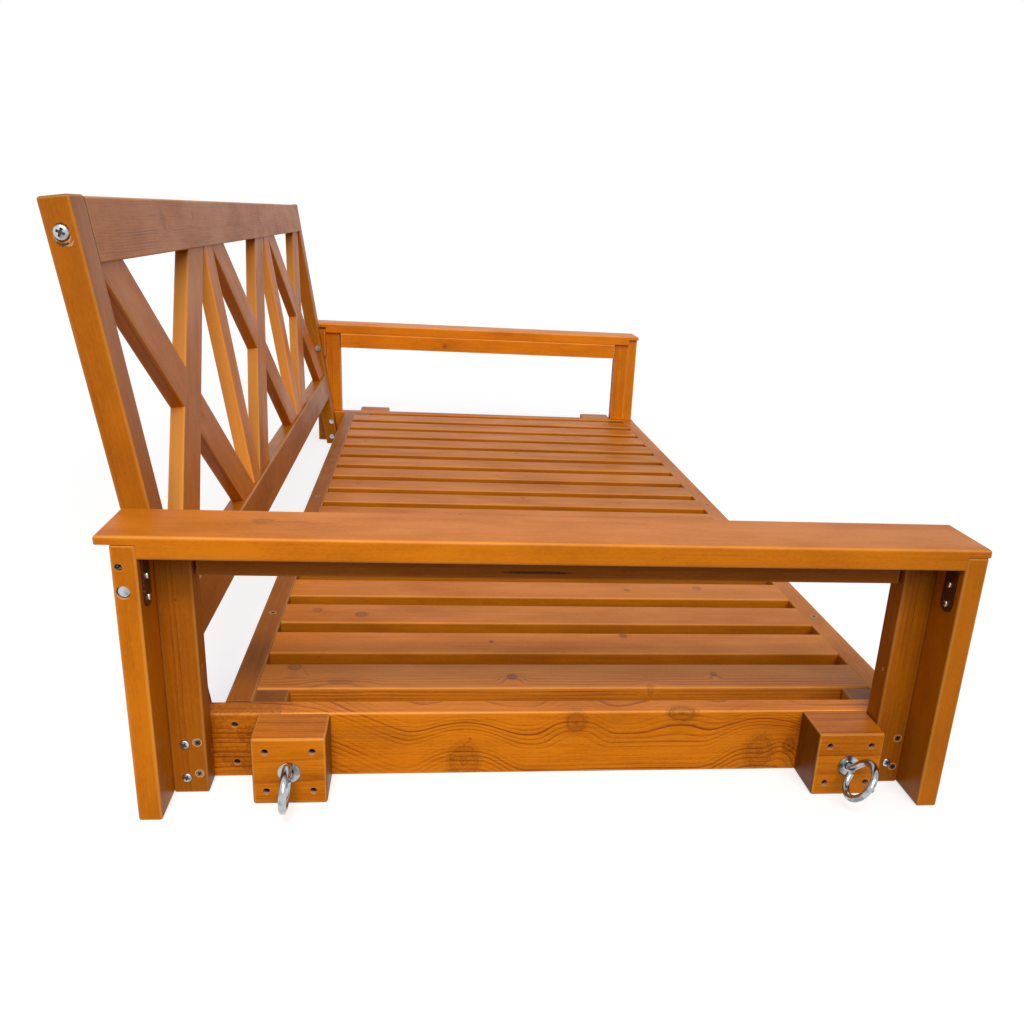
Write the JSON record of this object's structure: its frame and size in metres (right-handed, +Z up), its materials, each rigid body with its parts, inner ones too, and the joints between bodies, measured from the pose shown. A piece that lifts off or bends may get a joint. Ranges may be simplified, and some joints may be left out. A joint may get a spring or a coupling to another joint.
{
  "type": "porch swing bed",
  "caption": "Stained-wood porch swing bed with a slatted deck, L-shaped posts, flat arms, a leaning back of crossed braces, and eye bolts on hanger blocks for ropes or chains.",
  "frame": {"origin": "centre of the bounding box, on the floor plane", "axes": "+X along the bed's length, -Y towards the open front, +Y towards the back, +Z up"},
  "size_m": [2.3764, 1.076, 0.6845],
  "materials": {
    "honey_wood": "amber stain under satin varnish",
    "zinc_hardware": "bright zinc plate",
    "bronze_bracket": "dark bronze coating",
    "brass_screws": "yellow passivated",
    "plain_dowel": "bare"
  },
  "bodies": {
    "frame": {"apron_left": "honey_wood", "apron_right": "honey_wood", "arm_left": "honey_wood", "arm_right": "honey_wood", "back_bottom_rail": "honey_wood", "back_divider_left": "honey_wood", "back_divider_right": "honey_wood", "back_spacers": "honey_wood", "back_top_rail": "honey_wood", "bolt_nuts": "zinc_hardware", "brace_split_left": "honey_wood", "brace_split_middle": "honey_wood", "brace_split_right": "honey_wood", "brace_through_left": "honey_wood", "brace_through_middle": "honey_wood", "brace_through_right": "honey_wood", "bracket_screws": "brass_screws", "corner_blocks": "honey_wood", "corner_brackets": "bronze_bracket", "divider_dowels": "plain_dowel", "end_rail_left": "honey_wood", "end_rail_right": "honey_wood", "front_rail": "honey_wood", "hanger_blocks": "honey_wood", "machine_bolts": "zinc_hardware", "post_inner_left_front": "honey_wood", "post_inner_left_rear": "honey_wood", "post_inner_right_front": "honey_wood", "post_inner_right_rear": "honey_wood", "post_outer_left_front": "honey_wood", "post_outer_left_rear": "honey_wood", "post_outer_right_front": "honey_wood", "post_outer_right_rear": "honey_wood", "rear_rail": "honey_wood", "slat_01": "honey_wood", "slat_02": "honey_wood", "slat_03": "honey_wood", "slat_04": "honey_wood", "slat_05": "honey_wood", "slat_06": "honey_wood", "slat_07": "honey_wood", "slat_08": "honey_wood", "slat_09": "honey_wood", "slat_10": "honey_wood", "slat_11": "honey_wood", "slat_12": "honey_wood", "slat_13": "honey_wood", "slat_14": "honey_wood", "slat_15": "honey_wood", "slat_16": "honey_wood", "slat_17": "honey_wood", "stile_left": "honey_wood", "stile_right": "honey_wood", "washers": "zinc_hardware", "wood_screws": "zinc_hardware"},
    "eye_left_rear": {"eye_bolt_left_rear": "zinc_hardware"},
    "eye_left_front": {"eye_bolt_left_front": "zinc_hardware"},
    "eye_right_rear": {"eye_bolt_right_rear": "zinc_hardware"},
    "eye_right_front": {"eye_bolt_right_front": "zinc_hardware"}
  },
  "joints": [
    {"name": "eye_left_rear_turn", "type": "hinge", "parent": "frame", "child": "eye_left_rear", "pos_m": [-1.118, 0.29203, 0.045], "axis": [1, 0, 0], "continuous": true},
    {"name": "eye_left_front_turn", "type": "hinge", "parent": "frame", "child": "eye_left_front", "pos_m": [-1.118, -0.41997, 0.045], "axis": [1, 0, 0], "continuous": true},
    {"name": "eye_right_rear_turn", "type": "hinge", "parent": "frame", "child": "eye_right_rear", "pos_m": [1.118, 0.29203, 0.045], "axis": [1, 0, 0], "continuous": true},
    {"name": "eye_right_front_turn", "type": "hinge", "parent": "frame", "child": "eye_right_front", "pos_m": [1.118, -0.41997, 0.045], "axis": [1, 0, 0], "continuous": true}
  ]
}
